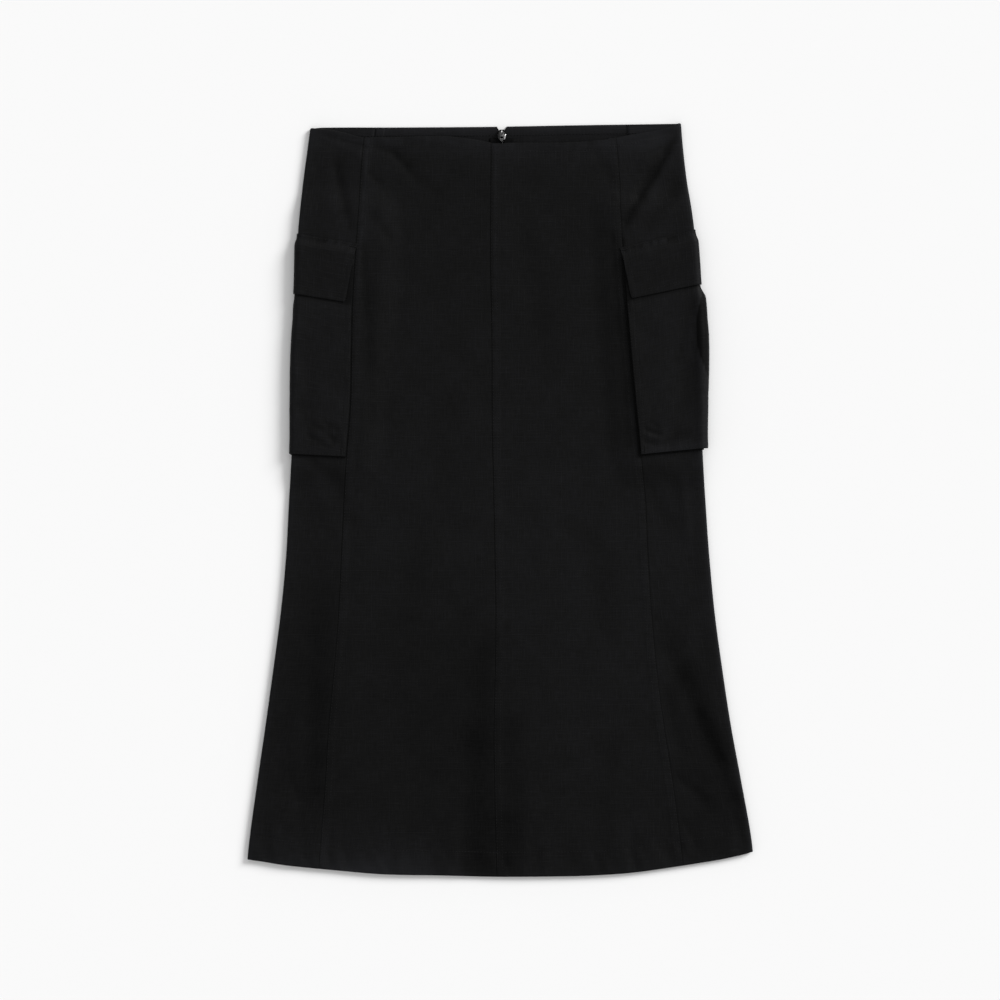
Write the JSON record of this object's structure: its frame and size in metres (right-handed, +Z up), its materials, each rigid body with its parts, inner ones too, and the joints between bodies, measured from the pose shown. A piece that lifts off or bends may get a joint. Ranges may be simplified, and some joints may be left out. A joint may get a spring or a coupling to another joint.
{
  "type": "cargo utility skirt",
  "caption": "Flared six-panel cargo skirt laid flat, with bellows side pockets under flaps, turned hem and waist, and a concealed zip at the back.",
  "frame": {"origin": "on the table, under the middle of the laid skirt's outline", "axes": "+X to the right of a person who looks down on the front, +Y from the hem to the waist, +Z up from the table"},
  "size_m": [0.5361, 0.7992, 0.0144],
  "materials": {
    "ripstop": "matt cotton ripstop",
    "zip_tape": "knitted tape and nylon coil",
    "zip_metal": "plated zinc"
  },
  "bodies": {
    "skirt": {"back_left": "ripstop", "back_right": "ripstop", "front_left": "ripstop", "front_right": "ripstop", "side_left": "ripstop", "side_right": "ripstop", "pocket_left": "ripstop", "pocket_right": "ripstop", "gusset_left": "ripstop", "gusset_right": "ripstop", "flap_left": "ripstop", "flap_right": "ripstop", "zip_tape_left": "zip_tape", "zip_tape_right": "zip_tape", "zip_coil": "zip_tape", "zip_slider": "zip_metal"},
    "pull_tab": {"pull_tab": "zip_metal"}
  },
  "joints": [
    {"name": "pull_tab_swing", "type": "hinge", "parent": "skirt", "child": "pull_tab", "pos_m": [0.0017, 0.3902, 0.00565], "axis": [-1, 0, 0], "range_deg": [0, 120]}
  ]
}
